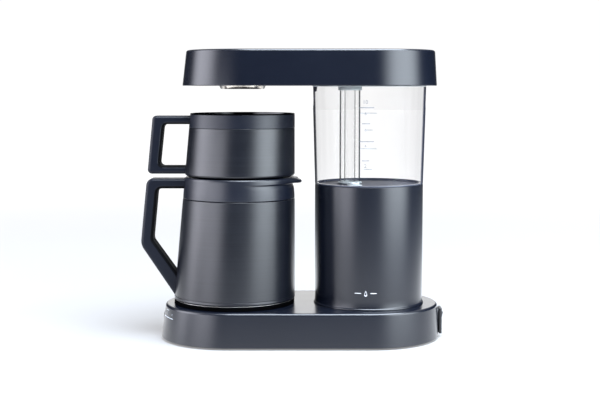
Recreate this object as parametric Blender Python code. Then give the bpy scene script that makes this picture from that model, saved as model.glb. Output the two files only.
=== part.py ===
"""Drip coffee brewer with a clear water tank, a cantilevered brew head, a thermal carafe and a lift-off brew basket.

Run with: blender --background --python part.py

Lengths below are in millimetres, and the helpers turn them into metres. Positions are measured from the middle of
the base's footprint at the surface it stands on: +X runs from the carafe to the tank, +Y to the rear long side and
+Z up. The brewer empty then moves the whole assembly so that the middle of its overall box is the origin.
"""

import math

import bmesh
import bpy
from mathutils import Matrix, Vector

MM = 0.001
GAP = 0.3  # running gap between pieces that touch

# Base: a stadium in plan, with drafted sides
BASE_LENGTH, BASE_DEPTH = 343.0, 174.0
BASE_BOTTOM, BASE_TOP = 2.2, 43.5
BASE_DRAFT = (0.138, 0.050, 0.078)  # carafe end, tank end, long sides, in mm per mm of height
BASE_FILLET = 2.9
PLATE_Z = (4.0, 6.0)
FOOT_AT = (130.0, 40.0)
SCREW_AT = (100.0, 64.0)

# Brew head: a smaller stadium, level with the tank end of the base
HEAD_LEFT, HEAD_RIGHT, HEAD_HALF_DEPTH = -143.3, 166.8, 82.0
HEAD_BOTTOM, HEAD_TOP = 310.0, 353.0
HEAD_DRAFT = (0.119, 0.061, 0.076)
HEAD_FILLET = 3.4
WALL = 2.4
UNDERSIDE_Z = (310.3, 313.3)
HEAD_SCREW_AT = (5.0, 62.0)

# Tank tower
TANK_X = 84.7
TANK_FLOOR_Z = 190.0
TANK_TOP = 308.7
SHROUD_TOP = 190.4
RISER_AT = (60.4, 8.0)
OUTLET_AT = (66.0, -31.0)
FILL_X = 108.0
FILL_RADIUS = 34.0

# Heater under the tank
HEATER_RADIUS = 38.0
STUB_ANGLE = math.radians(130)
STUB_X = TANK_X + HEATER_RADIUS * math.cos(STUB_ANGLE)
STUB_Y = HEATER_RADIUS * math.sin(STUB_ANGLE)
VALVE_AT = (63.0, -30.0)
HOSE = (6.2, 4.6)  # outer and inner radius
BARB, BORE = 4.0, 2.6  # outer and inner radius of the spigots that the hoses push onto

# Carafe and basket share one leaning cone: upright at the tank side, sloping at the handle side
VESSEL_X, VESSEL_RADIUS, LEAN = -83.35, 76.85, 0.0473  # axis, radius at height 0, and the change of both with height
BODY_Z = (49.5, 172.6)
COLLAR_Z = (173.2, 198.2)
MOUTH_RADIUS = 50.8
SLEEVE_Z = (203.0, 259.0)
RIM_Z = (259.4, 276.0)
HANDLE_DEPTH = 28.0
SPOUT_HALF_ANGLE = 0.46

SHOWER_X = -70.2

# Controls
BUTTON_Z, BUTTON_RADIUS, BUTTON_TRAVEL = 22.0, 9.0, 1.5
LIGHT_Z, LIGHT_ANGLES = 34.5, (14, 23, 32)
ROCKER_AT = (171.0, 20.5)  # x and z of the rocker's pivot
CORD_AT = (70.0, 26.0)  # x and z of the cord outlet, on the rear long side

# Overall reach along X, of the carafe's handle and of the rocker's raised end
HANDLE_REACH, SWITCH_REACH = 195.3, 177.0
BREWER_X = (HANDLE_REACH - SWITCH_REACH) / 2

ROUND = 40  # sides of a large round piece
SMALL_ROUND = 16
HOSE_SIDES = 10


# ------------------------------------------------------------------------------------------------ helpers
def clear_scene():
    for obj in list(bpy.data.objects):
        bpy.data.objects.remove(obj)


def material(name, colour, roughness, metallic=0.0, alpha=1.0):
    """A Principled BSDF material."""
    made = bpy.data.materials.new(name)
    made.use_nodes = True
    shader = made.node_tree.nodes["Principled BSDF"]
    shader.inputs["Base Color"].default_value = (*colour, 1.0)
    shader.inputs["Roughness"].default_value = roughness
    shader.inputs["Metallic"].default_value = metallic
    shader.inputs["Alpha"].default_value = alpha
    made.diffuse_color = (*colour, alpha)
    return made


class Group:
    """An empty that carries the pieces which move together."""

    def __init__(self, name, origin, parent=None):
        self.origin = Vector(origin)
        self.empty = bpy.data.objects.new(name, None)
        bpy.context.scene.collection.objects.link(self.empty)
        self.empty.parent = parent.empty if parent else None
        self.empty.location = (self.origin - (parent.origin if parent else Vector())) * MM


def add(name, bm, group, finish, smooth=40):
    """Makes an object of a bmesh modelled in brewer positions, with its origin at its group's."""
    bmesh.ops.translate(bm, vec=-group.origin, verts=bm.verts)
    bmesh.ops.scale(bm, vec=(MM, MM, MM), verts=bm.verts)
    bmesh.ops.recalc_face_normals(bm, faces=bm.faces)
    mesh = bpy.data.meshes.new(name)
    bm.to_mesh(mesh)
    bm.free()
    mesh.shade_smooth()
    mesh.set_sharp_from_angle(angle=math.radians(smooth))
    obj = bpy.data.objects.new(name, mesh)
    bpy.context.scene.collection.objects.link(obj)
    obj.parent = group.empty
    if finish:
        mesh.materials.append(finish)
    return obj


def helper(name, bm, group):
    """A cutter or an added shape that only a Boolean uses."""
    obj = add(name, bm, group, None)
    obj.hide_render = True
    obj.display_type = "WIRE"
    return obj


def boolean(obj, other, operation):
    modifier = obj.modifiers.new(operation.lower(), "BOOLEAN")
    modifier.object = other
    modifier.operation = operation


def cut(obj, bm, group):
    boolean(obj, helper(obj.name + ".cutter", bm, group), "DIFFERENCE")


def join(obj, bm, group):
    boolean(obj, helper(obj.name + ".added", bm, group), "UNION")


def bevel(obj, width, segments=2):
    modifier = obj.modifiers.new("bevel", "BEVEL")
    modifier.width = width * MM
    modifier.segments = segments
    modifier.limit_method = "ANGLE"
    modifier.angle_limit = math.radians(50)


def skin(rings, closed=False, bm=None):
    """Faces between equal rings of points. The ends are capped, or with closed the last ring meets the first."""
    bm = bm or bmesh.new()
    loops = [[bm.verts.new(point) for point in ring] for ring in rings]
    pairs = list(zip(loops, loops[1:]))
    if closed:
        pairs.append((loops[-1], loops[0]))
    else:
        bm.faces.new(loops[0])
        bm.faces.new(loops[-1])
    for low, high in pairs:
        for i in range(len(low)):
            j = (i + 1) % len(low)
            bm.faces.new((low[i], low[j], high[j], high[i]))
    bmesh.ops.recalc_face_normals(bm, faces=bm.faces)
    return bm


def circle(radius, z, sides, centre=(0.0, 0.0)):
    turns = [2 * math.pi * i / sides for i in range(sides)]
    return [Vector((centre[0] + radius * math.cos(a), centre[1] + radius * math.sin(a), z)) for a in turns]


def stadium(left, right, half, z, arc=16):
    """A stadium outline: two half circles of radius half, joined by straight sides."""
    points = []
    for centre_x, start in ((right - half, -math.pi / 2), (left + half, math.pi / 2)):
        for i in range(arc + 1):
            a = start + math.pi * i / arc
            points.append(Vector((centre_x + half * math.cos(a), half * math.sin(a), z)))
    return points


def turned(profile, sides=ROUND, at=(0, 0, 0), axis=(0, 0, 1), closed=False, bm=None):
    """A round piece from (radius, height) points, its own axis turned to lie along axis at the point at."""
    aim = Matrix.Translation(at) @ Vector(axis).to_track_quat("Z", "Y").to_matrix().to_4x4()
    rings = [[aim @ point for point in circle(r, z, sides)] for r, z in profile]
    return skin(rings, closed, bm)


def rod(radius, low, high, at=(0, 0), sides=SMALL_ROUND, bm=None):
    """An upright cylinder between two heights."""
    return turned([(radius, low), (radius, high)], sides, (at[0], at[1], 0), bm=bm)


def box(low, high, bm=None):
    corners = ((low[0], low[1]), (high[0], low[1]), (high[0], high[1]), (low[0], high[1]))
    return skin([[Vector((x, y, z)) for x, y in corners] for z in (low[2], high[2])], bm=bm)


def rounded(corners, steps=5):
    """An outline of (x, z, radius) corners, each corner with a radius turned into an arc."""
    points = []
    for i, (x, z, radius) in enumerate(corners):
        here = Vector((x, z))
        if not radius:
            points.append(here)
            continue
        before, after = (Vector(corners[k % len(corners)][:2]) - here for k in (i - 1, i + 1))
        half = before.angle(after) / 2
        reach = radius / math.tan(half)
        start, end = here + before.normalized() * reach, here + after.normalized() * reach
        centre = here + (before.normalized() + after.normalized()).normalized() * (radius / math.sin(half))
        sweep = (start - centre).angle_signed(end - centre)
        for k in range(steps + 1):
            arm = (start - centre).copy()
            arm.rotate(Matrix.Rotation(-sweep * k / steps, 2))
            points.append(centre + arm)
    return points


def slab(outline, depth):
    """An outline in the XZ plane made into a plate that is centred on Y."""
    return skin([[Vector((x, y, z)) for x, z in outline] for y in (-depth / 2, depth / 2)])


def smooth_path(points, per_span=4):
    """A Catmull-Rom curve through the points."""
    points = [Vector(p) for p in points]
    path = []
    padded = [2 * points[0] - points[1], *points, 2 * points[-1] - points[-2]]
    for a, b, c, d in zip(padded, padded[1:], padded[2:], padded[3:]):
        for i in range(per_span):
            t = i / per_span
            square, cube = 2 * a - 5 * b + 4 * c - d, 3 * b - a - 3 * c + d
            path.append(0.5 * (2 * b + (c - a) * t + square * t**2 + cube * t**3))
    return [*path, points[-1]]


def swept(path, outer, inner=0.0, sides=HOSE_SIDES):
    """A rod along a path, or with an inner radius a hose."""
    tangents = [(b - a).normalized() for a, b in zip([path[0], *path[:-1]], [*path[1:], path[-1]])]
    side = tangents[0].orthogonal().normalized()
    frames = []
    for tangent in tangents:
        side = (side - tangent * side.dot(tangent)).normalized()
        frames.append((side, tangent.cross(side)))
    turns = [2 * math.pi * i / sides for i in range(sides)]

    def rings(radius):
        return [[p + (u * math.cos(a) + v * math.sin(a)) * radius for a in turns]
                for p, (u, v) in zip(path, frames)]

    return skin(rings(outer) + rings(inner)[::-1], closed=True) if inner else skin(rings(outer))


def round_quarter(radius, steps=3):
    """(inset, rise) pairs of an outer corner, from the wall to the top."""
    turns = [math.pi / 2 * i / steps for i in range(steps + 1)]
    return [(radius * (1 - math.cos(a)), radius * math.sin(a)) for a in turns]


# ------------------------------------------------------------------------------------------------ shared shapes
def base_ring(z, inset=0.0):
    rise = z - BASE_BOTTOM
    left, right = -BASE_LENGTH / 2 + BASE_DRAFT[0] * rise, BASE_LENGTH / 2 - BASE_DRAFT[1] * rise
    return stadium(left + inset, right - inset, BASE_DEPTH / 2 - BASE_DRAFT[2] * rise - inset, z)


def head_ring(z, inset=0.0):
    rise = z - HEAD_BOTTOM
    left, right = HEAD_LEFT + HEAD_DRAFT[0] * rise, HEAD_RIGHT - HEAD_DRAFT[1] * rise
    return stadium(left + inset, right - inset, HEAD_HALF_DEPTH - HEAD_DRAFT[2] * rise - inset, z)


def shell(ring, bottom, top, fillet):
    """A stadium shell that is open below, with a rounded top edge."""
    rings = [ring(top - WALL, WALL + 0.8), ring(top - WALL - 1.2, WALL), ring(bottom, WALL), ring(bottom, 0.7)]
    rings.append(ring(bottom + 1.0, 0.0))
    rings += [ring(top - fillet + rise, inset) for inset, rise in round_quarter(fillet)]
    return skin(rings)


def vessel_radius(z):
    return VESSEL_RADIUS - LEAN * z


def vessel(profile, closed=False, fixed=False):
    """A round piece whose circles follow the leaning cone. Each point is an offset from the cone's radius at that
    height, or with fixed a radius of its own."""
    rings = []
    for r, z in profile:
        radius = r if fixed else vessel_radius(z) + r
        rings.append(circle(radius, z, ROUND, (VESSEL_X + LEAN * z, 0.0)))
    return skin(rings, closed)


def mixed(profile):
    """(offset, z) points with every radius given from the cone, so that cone and fixed points can share a profile."""
    return [(r - vessel_radius(z) if kind == "fixed" else r, z) for kind, r, z in profile]


# ------------------------------------------------------------------------------------------------ base
def build_base(brewer, finish):
    housing = add("base_housing", shell(base_ring, BASE_BOTTOM, BASE_TOP, BASE_FILLET), brewer, finish["shell"])
    added = box((168.9, -10.5, 3.6), (171.6, 10.5, 37.4))
    for sx in (-1, 1):
        for sy in (-1, 1):
            rod(4.5, PLATE_Z[1] + GAP, BASE_TOP - 1.2, (sx * SCREW_AT[0], sy * SCREW_AT[1]), 12, added)
    join(housing, added, brewer)

    holes = rod(50.0, BASE_TOP - 8, BASE_TOP + 8, (TANK_X, 0), 32)
    for sx in (-1, 1):
        for sy in (-1, 1):
            rod(1.9, PLATE_Z[1] - 1, 20.0, (sx * SCREW_AT[0], sy * SCREW_AT[1]), 8, holes)
    button_hole = [(BUTTON_RADIUS + 0.4, 155.0), (BUTTON_RADIUS + 0.4, 176.0)]
    turned(button_hole, 24, (0, 0, BUTTON_Z), (-1, 0, 0), bm=holes)
    for place, direction in status_lights():
        turned([(1.9, -6.0), (1.9, 4.0)], 8, place, direction, bm=holes)
    box((160.0, -7.7, 6.1), (180.0, 7.7, 35.7), holes)
    turned([(6.0, 76.0), (6.0, 92.0)], SMALL_ROUND, (CORD_AT[0], 0, CORD_AT[1]), (0, 1, 0), bm=holes)
    cut(housing, holes, brewer)

    plate = add("base_plate", skin([base_ring(PLATE_Z[0], WALL + 0.6), base_ring(PLATE_Z[1], WALL + 0.5)]), brewer,
                finish["plate"])
    posts = bmesh.new()
    for x in (-55.0, 15.0):
        for y in (-34.0, 34.0):
            rod(3.0, PLATE_Z[0] + 1, 11.7, (x, y), 10, posts)
    join(plate, posts, brewer)
    screw_holes = bmesh.new()
    corner = 0
    for sx in (-1, 1):
        for sy in (-1, 1):
            corner += 1
            rod(2.0, 0.0, 8.0, (sx * SCREW_AT[0], sy * SCREW_AT[1]), 10, screw_holes)
            at = (sx * SCREW_AT[0], sy * SCREW_AT[1], 0)
            screw = turned([(2.8, 2.3), (3.4, 2.8), (3.4, 3.7), (1.6, 3.7), (1.6, 16.0)], 12, at)
            add(f"base_screw_{corner}", screw, brewer, finish["steel"])
            foot_at = (sx * FOOT_AT[0], sy * FOOT_AT[1], 0)
            foot = turned([(7.2, 0.0), (8.0, 0.8), (8.0, PLATE_Z[0] - GAP)], 20, foot_at)
            add(f"foot_{corner}", foot, brewer, finish["rubber"])
    cut(plate, screw_holes, brewer)


def status_lights():
    """(point on the base's skin, outward direction) of each status light."""
    rise = LIGHT_Z - BASE_BOTTOM
    half = BASE_DEPTH / 2 - BASE_DRAFT[2] * rise
    centre_x = -BASE_LENGTH / 2 + BASE_DRAFT[0] * rise + half
    found = []
    for degrees in LIGHT_ANGLES:
        a = math.radians(180 + degrees)
        direction = Vector((math.cos(a), math.sin(a), 0))
        found.append((Vector((centre_x, 0, LIGHT_Z)) + direction * half, direction))
    return found


def build_controls(brewer, finish):
    button_x = -BASE_LENGTH / 2 + BASE_DRAFT[0] * (BUTTON_Z - BASE_BOTTOM)
    axis = Group("start_button_axis", (button_x, 0, BUTTON_Z), brewer)
    profile = [(10.6, 162.3), (10.6, 163.8), (BUTTON_RADIUS, 163.8), (BUTTON_RADIUS, 169.0),
               (BUTTON_RADIUS - 0.6, 169.6)]
    add("start_button", turned(profile, 24, (0, 0, BUTTON_Z), (-1, 0, 0)), axis, finish["button"])

    switch = turned([(4.0, 153.5), (4.0, 157.0), (1.7, 157.0), (1.7, 160.5)], 12, (0, 0, BUTTON_Z), (-1, 0, 0))
    add("tact_switch", switch, brewer, finish["trim"])
    add("control_board", box((-153.2, -34.0, 9.0), (-151.6, 20.0, 36.0)), brewer, finish["board"])
    for number, (place, direction) in enumerate(status_lights(), 1):
        light = turned([(1.55, -7.0), (1.55, 0.1), (1.1, 0.5)], 10, place, direction)
        add(f"status_light_{number}", light, brewer, finish["light"])

    body = add("power_switch_body", box((171.9, -9.5, 4.7), (175.3, 9.5, 36.4)), brewer, finish["trim"])
    join(body, box((150.0, -7.4, 6.4), (173.0, 7.4, 35.4)), brewer)
    terminals = bmesh.new()
    for z in (12.0, 20.5, 29.0):
        box((142.0, -3.0, z - 0.5), (151.0, 3.0, z + 0.5), terminals)
    join(body, terminals, brewer)
    window = box((166.5, -6.2, 7.4), (180.0, 6.2, 34.4))
    cut(body, window, brewer)
    pin_hole = turned([(1.8, -6.9), (1.8, 6.9)], 12, (ROCKER_AT[0], 0, ROCKER_AT[1]), (0, 1, 0))
    boolean(body, helper("pin_hole.cutter", pin_hole, brewer), "DIFFERENCE")

    pivot = Group("rocker_pivot", (ROCKER_AT[0], 0, ROCKER_AT[1]), brewer)
    outline = rounded([(169.4, 9.0, 0), (173.6, 8.0, 1.2), (174.9, 19.5, 6), (SWITCH_REACH + 0.2, 32.2, 1.0),
                       (170.6, 32.0, 0)], 3)
    rocker = add("power_rocker", slab(outline, 11.8), pivot, finish["rocker"])
    boolean(rocker, bpy.data.objects["pin_hole.cutter"], "DIFFERENCE")
    pin = turned([(1.5, -6.7), (1.5, 6.7)], 12, (ROCKER_AT[0], 0, ROCKER_AT[1]), (0, 1, 0))
    add("rocker_pin", pin, brewer, finish["steel"])


def build_electrics(brewer, finish):
    grommet = [(3.4, 80.3), (7.6, 80.3), (7.6, 81.7), (5.7, 81.7), (5.7, 86.1), (7.6, 86.1), (7.2, 86.9), (3.4, 86.9)]
    at = (CORD_AT[0], 0, CORD_AT[1])
    add("cord_grommet", turned(grommet, SMALL_ROUND, at, (0, 1, 0), closed=True), brewer, finish["rubber"])
    add("main_board", box((-62.0, -41.0, 12.0), (22.0, 41.0, 13.6)), brewer, finish["board"])
    add("terminal_block", box((2.0, -22.0, 13.9), (14.0, 22.0, 25.0)), brewer, finish["insulator"])
    harness = smooth_path([(14.6, 5, 19), (44, 5, 22), (70, 4, 33), (84, 2, 54), (90, 2, 78), (103, 1, 94),
                           (117, 0, 96), (122.5, 0, 86)], 3)
    add("heater_harness", swept(harness, 2.6, sides=8), brewer, finish["wire"])


# ------------------------------------------------------------------------------------------------ tank tower
def build_heater(brewer, finish):
    spread = [math.radians(d) for d in range(-136, 137, 17)]
    rings = []
    for a in spread:
        corners = ((-11, 60), (11, 60), (11, 74), (8, 76), (-8, 76), (-11, 74))
        rings.append([Vector((TANK_X + (HEATER_RADIUS + r) * math.cos(a), (HEATER_RADIUS + r) * math.sin(a), z))
                      for r, z in corners])
    heater = add("heater", skin(rings), brewer, finish["casting"])
    stubs = bmesh.new()
    for side in (-1, 1):
        turned([(6.0, 70), (6.0, 79), (BARB, 79), (BARB, 89)], 12, (STUB_X, side * STUB_Y, 0), bm=stubs)
    join(heater, stubs, brewer)

    element = [Vector((TANK_X + 53.0 * math.cos(a), 53.0 * math.sin(a), 68)) for a in spread]
    add("heater_element", swept(element, 3.2, sides=8), brewer, finish["steel"])

    ring = [(25.0, BASE_TOP + GAP), (58.0, BASE_TOP + GAP), (58.0, 46.0), (25.0, 46.0)]
    bracket = add("heater_bracket", turned(ring, 32, (TANK_X, 0, 0), closed=True), brewer, finish["plate"])
    pillars = bmesh.new()
    for degrees in (0, 120, 240):
        a = math.radians(degrees)
        rod(3.0, 45.0, 59.7, (TANK_X + HEATER_RADIUS * math.cos(a), HEATER_RADIUS * math.sin(a)), 10, pillars)
    join(bracket, pillars, brewer)

    thermostat = [(8.0, 76.3), (8.0, 82.0), (5.0, 82.0), (5.0, 84.5)]
    at = (TANK_X + HEATER_RADIUS, 0, 0)
    add("thermostat", turned(thermostat, SMALL_ROUND, at), brewer, finish["insulator"])

    valve = [(BORE, 122), (BARB, 122), (BARB, 126), (8.0, 126), (8.0, 150), (BARB, 150), (BARB, 154), (BORE, 154)]
    add("check_valve", turned(valve, SMALL_ROUND, (*VALVE_AT, 0), closed=True), brewer, finish["insulator"])

    upper = smooth_path([(*OUTLET_AT, 175.5), (*OUTLET_AT, 168), (*OUTLET_AT, 165), (*VALVE_AT, 158),
                         (*VALVE_AT, 155), (*VALVE_AT, 150.4)], 2)
    add("inlet_hose_upper", swept(upper, *HOSE), brewer, finish["silicone"])
    stub = (STUB_X, -STUB_Y)
    lower = smooth_path([(*VALVE_AT, 125.6), (*VALVE_AT, 121), (*VALVE_AT, 118), (*stub, 94), (*stub, 89),
                         (*stub, 79.4)], 2)
    add("inlet_hose_lower", swept(lower, *HOSE), brewer, finish["silicone"])
    stub = (STUB_X, STUB_Y)
    outlet = smooth_path([(*stub, 79.4), (*stub, 89), (*stub, 93), (STUB_X, 22, 118), (RISER_AT[0], 12, 145),
                          (*RISER_AT, 160), (*RISER_AT, 164), (*RISER_AT, 175.2)], 2)
    add("outlet_hose", swept(outlet, *HOSE), brewer, finish["silicone"])
    for name, side in (("inlet", -1), ("outlet", 1)):
        band = [(6.6, 81.5), (7.6, 81.5), (7.6, 86.5), (6.6, 86.5)]
        clamp = turned(band, SMALL_ROUND, (STUB_X, side * STUB_Y, 0), closed=True)
        add(f"hose_clamp_{name}", clamp, brewer, finish["steel"])


def build_tank(brewer, finish):
    at = (TANK_X, 0, 0)
    outside = [(67.4, BASE_TOP + GAP), (67.4, 45.6), (66.7, 46.6), (66.1, 48.6), (65.95, 51.5), (66.3, SHROUD_TOP)]
    ledge = [(64.7, SHROUD_TOP), (64.7, 175.6), (60.5, 175.6), (60.5, 173.6), (64.4, 171.0), (64.4, BASE_TOP + GAP)]
    add("tank_shroud", turned(outside + ledge, ROUND, at, closed=True), brewer, finish["shell"])

    floor = [(64.3, 175.9), (64.3, 179.5), (61.5, 179.5), (61.5, TANK_FLOOR_Z - 0.5), (61.0, TANK_FLOOR_Z)]
    tank_floor = add("tank_floor", turned(floor, ROUND, at), brewer, finish["floor"])
    ports = rod(4.3, 170, 200, OUTLET_AT, 12)
    rod(6.6, 170, 200, RISER_AT, SMALL_ROUND, ports)
    cut(tank_floor, ports, brewer)

    outside = [(64.3, 179.8), (64.3, SHROUD_TOP + GAP), (66.3, SHROUD_TOP + GAP), (69.4, TANK_TOP)]
    inside = [(66.8, TANK_TOP), (63.7, 192.4), (61.9, 190.6), (61.9, 179.8)]
    add("tank_wall", turned(outside + inside, ROUND, at, closed=True), brewer, finish["clear"])
    seal = [(66.9, 309.0), (69.3, 309.0), (69.3, 310.0), (66.9, 310.0)]
    add("tank_top_seal", turned(seal, ROUND, at, closed=True), brewer, finish["silicone"])

    outlet = [(BORE, 169), (BARB, 169), (BARB, 190.3), (9.0, 190.3), (9.0, 191.6), (6.5, 193.4), (BORE, 193.4)]
    add("tank_outlet", turned(outlet, SMALL_ROUND, (*OUTLET_AT, 0), closed=True), brewer, finish["insulator"])

    sleeve = [(9.8, 190.3), (15.0, 190.3), (15.0, 191.6), (11.6, 192.6), (11.6, 307.7), (9.8, 307.7)]
    add("riser_sleeve", turned(sleeve, 20, (*RISER_AT, 0), closed=True), brewer, finish["clear"])
    tube = [(BORE, 165), (BARB, 165), (BARB, 175.5), (6.25, 175.5), (6.25, 318), (BARB, 318), (BARB, 325),
            (BORE, 325)]
    add("riser_tube", turned(tube, SMALL_ROUND, (*RISER_AT, 0), closed=True), brewer, finish["clear"])
    seal = [(11.9, 304.3), (13.6, 304.3), (14.1, 304.9), (14.1, 310.0), (9.5, 310.0), (9.5, 316.0), (6.6, 316.0),
            (6.6, 308.0), (11.9, 308.0)]
    add("riser_seal", turned(seal, 20, (*RISER_AT, 0), closed=True), brewer, finish["silicone"])


# ------------------------------------------------------------------------------------------------ brew head
def build_head(brewer, finish):
    housing = add("head_housing", shell(head_ring, HEAD_BOTTOM, HEAD_TOP, HEAD_FILLET), brewer, finish["shell"])
    bosses = bmesh.new()
    holes = rod(FILL_RADIUS + 7.5, HEAD_TOP - 8, HEAD_TOP + 8, (FILL_X, 0), 32)
    plate = add("head_underside", skin([head_ring(z, WALL + 0.4) for z in UNDERSIDE_Z]), brewer, finish["shell"])
    plate_holes = rod(22.6, 300, 320, (SHOWER_X, 0), 24)
    rod(9.9, 300, 320, RISER_AT, SMALL_ROUND, plate_holes)
    rod(FILL_RADIUS - 1, 300, 320, (FILL_X, 0), 32, plate_holes)
    for number, side in enumerate((-1, 1), 1):
        at = (HEAD_SCREW_AT[0], side * HEAD_SCREW_AT[1])
        rod(4.5, UNDERSIDE_Z[1] + GAP, HEAD_TOP - 1.2, at, 12, bosses)
        rod(1.9, UNDERSIDE_Z[1] - 2, 329.0, at, 8, holes)
        turned([(3.8, 300), (3.8, 312.2), (2.0, 312.2), (2.0, 320)], 12, (*at, 0), bm=plate_holes)
        screw = turned([(2.8, 310.5), (3.4, 310.9), (3.4, 311.9), (1.6, 311.9), (1.6, 325.0)], 12, (*at, 0))
        add(f"head_screw_{number}", screw, brewer, finish["steel"])
    join(housing, bosses, brewer)
    cut(housing, holes, brewer)
    cut(plate, plate_holes, brewer)

    fill_at = (FILL_X, 0, 0)
    duct = [(FILL_RADIUS, 313.6), (FILL_RADIUS + 2, 313.6), (FILL_RADIUS + 2, 347.8), (FILL_RADIUS + 10.5, 347.8),
            (FILL_RADIUS + 10.5, 350.2), (FILL_RADIUS, 350.2)]
    add("fill_duct", turned(duct, 32, fill_at, closed=True), brewer, finish["trim"])
    lift = Group("tank_lid_lift", (FILL_X, 0, HEAD_TOP), brewer)
    lid = [(FILL_RADIUS - 2.6, 349.0), (FILL_RADIUS - 2.6, 342.0), (FILL_RADIUS - 0.4, 342.0),
           (FILL_RADIUS - 0.4, 350.6), (FILL_RADIUS + 7.0, 350.6), (FILL_RADIUS + 7.0, 352.4),
           (FILL_RADIUS + 6.4, HEAD_TOP)]
    tank_lid = add("tank_lid", turned(lid, 32, fill_at), lift, finish["lid"])
    cut(tank_lid, rod(9.0, 349.5, 360, (FILL_X + FILL_RADIUS + 9.5, 0), 20), lift)

    shower_at = (SHOWER_X, 0, 0)
    dish = [(8.0, 307.2), (18.0, 308.0), (20.4, 308.6), (20.4, 317.0), (22.0, 317.0), (22.0, 310.0), (28.3, 310.0),
            (28.3, 309.4), (26.0, 308.0), (20.0, 306.6), (10.0, 305.9)]
    shower = add("shower_head", turned(dish, 24, shower_at), brewer, finish["polished"])
    jets = rod(1.0, 300, 309, (SHOWER_X, 0), 6)
    for i in range(6):
        a = math.pi / 3 * i
        rod(1.0, 300, 309, (SHOWER_X + 12 * math.cos(a), 12 * math.sin(a)), 6, jets)
    cut(shower, jets, brewer)
    manifold = [(BORE, 319.5), (22.4, 319.5), (22.4, 313.6), (27.0, 313.6), (27.0, 316.0), (24.6, 316.0),
                (24.6, 322.0), (BARB, 322.0), (BARB, 327.0), (BORE, 327.0)]
    add("shower_manifold", turned(manifold, 24, shower_at, closed=True), brewer, finish["insulator"])
    run = smooth_path([(*RISER_AT, 318.5), (*RISER_AT, 326), (*RISER_AT, 329), (RISER_AT[0] - 6, 7.6, 338),
                       (RISER_AT[0] - 20, 7, 342), (SHOWER_X + 20, 1, 342), (SHOWER_X + 6, 0, 338),
                       (SHOWER_X, 0, 329), (SHOWER_X, 0, 326), (SHOWER_X, 0, 322.4)], 2)
    add("head_hose", swept(run, *HOSE), brewer, finish["silicone"])


# ------------------------------------------------------------------------------------------------ carafe
def spout(angle):
    """How far the pouring lip reaches at an angle from +X, from 0 to 1."""
    return max(0.0, 1 - abs(angle) / SPOUT_HALF_ANGLE) ** 1.25


def collar_ring(offset, z, reach=0.0):
    """A ring of the collar, drawn out by reach at the spout."""
    points = []
    for i in range(ROUND):
        a = 2 * math.pi * i / ROUND
        from_spout = (a + math.pi) % (2 * math.pi) - math.pi
        radius = vessel_radius(z) + offset + reach * spout(from_spout)
        points.append(Vector((VESSEL_X + LEAN * z + radius * math.cos(a), radius * math.sin(a), z)))
    return points


def vessel_cutter():
    """What trims the handles: the vessels' outside, with the gap."""
    return vessel([(0.3, 10), (0.3, 173.0), (-0.5, 175.5), (-0.5, 188.0), (0.3, 191.5), (1.3, 193.5), (1.3, 199.5),
                   (0.3, 201.5), (0.3, 258.0), (0.5, 261.0), (0.5, 295.0)])


def build_carafe(carafe, finish):
    foot = [(-8.0, 46.0), (-8.0, BASE_TOP + GAP), (-2.6, BASE_TOP + GAP), (-2.2, 49.2)]
    add("carafe_foot", vessel(foot), carafe, finish["trim"])
    body = [(-3.6, 50.9), (-1.2, 53.2), (-1.2, BODY_Z[1]), (0.0, BODY_Z[1]), (0.0, 52.6), (-0.8, 50.4),
            (-2.8, BODY_Z[0])]
    add("carafe_body", vessel(body), carafe, finish["vessel"])
    liner = mixed([("cone", -9.0, 56.6), ("cone", -6.2, 59.5), ("cone", -6.2, 158.0), ("fixed", MOUTH_RADIUS, 175.6),
                   ("fixed", MOUTH_RADIUS, 194.3), ("fixed", MOUTH_RADIUS + 1.2, 194.3),
                   ("fixed", MOUTH_RADIUS + 1.2, 176.0), ("cone", -5.0, 158.6), ("cone", -5.0, 59.0),
                   ("cone", -8.4, 55.4)])
    add("carafe_liner", vessel(liner), carafe, finish["steel"])
    low, top = COLLAR_Z
    rings = [collar_ring(-0.6, low), collar_ring(-0.1, low + 1.2), collar_ring(-0.9, 182.0, -0.6),
             collar_ring(-0.9, 188.0, 0.6), collar_ring(-0.1, 191.5, 4.2), collar_ring(0.7, 194.0, 7.2),
             collar_ring(0.7, 196.4, 5.8), collar_ring(0.1, top, 3.0), collar_ring(-2.4, top - 0.2, 1.2)]
    inner = mixed([("fixed", MOUTH_RADIUS + 3.4, 195.4), ("fixed", MOUTH_RADIUS + 1.6, 194.6),
                   ("fixed", MOUTH_RADIUS + 1.6, 178.5), ("fixed", MOUTH_RADIUS + 4.4, low)])
    rings += [collar_ring(offset, z) for offset, z in inner]
    add("carafe_collar", skin(rings, closed=True), carafe, finish["trim_grey"])

    outline = rounded([(-120.0, 197.3, 0), (-187.2, 197.3, 9), (-195.9, 115.7, 18), (-138.5, 30.0, 0),
                       (-125.0, 44.1, 0), (-180.6, 122.4, 8), (-174.2, 184.9, 6), (-120.0, 184.9, 0)])
    handle = add("carafe_handle", slab(outline, HANDLE_DEPTH), carafe, finish["trim_grey"])
    bevel(handle, 2.6)
    cut(handle, vessel_cutter(), carafe)


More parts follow.
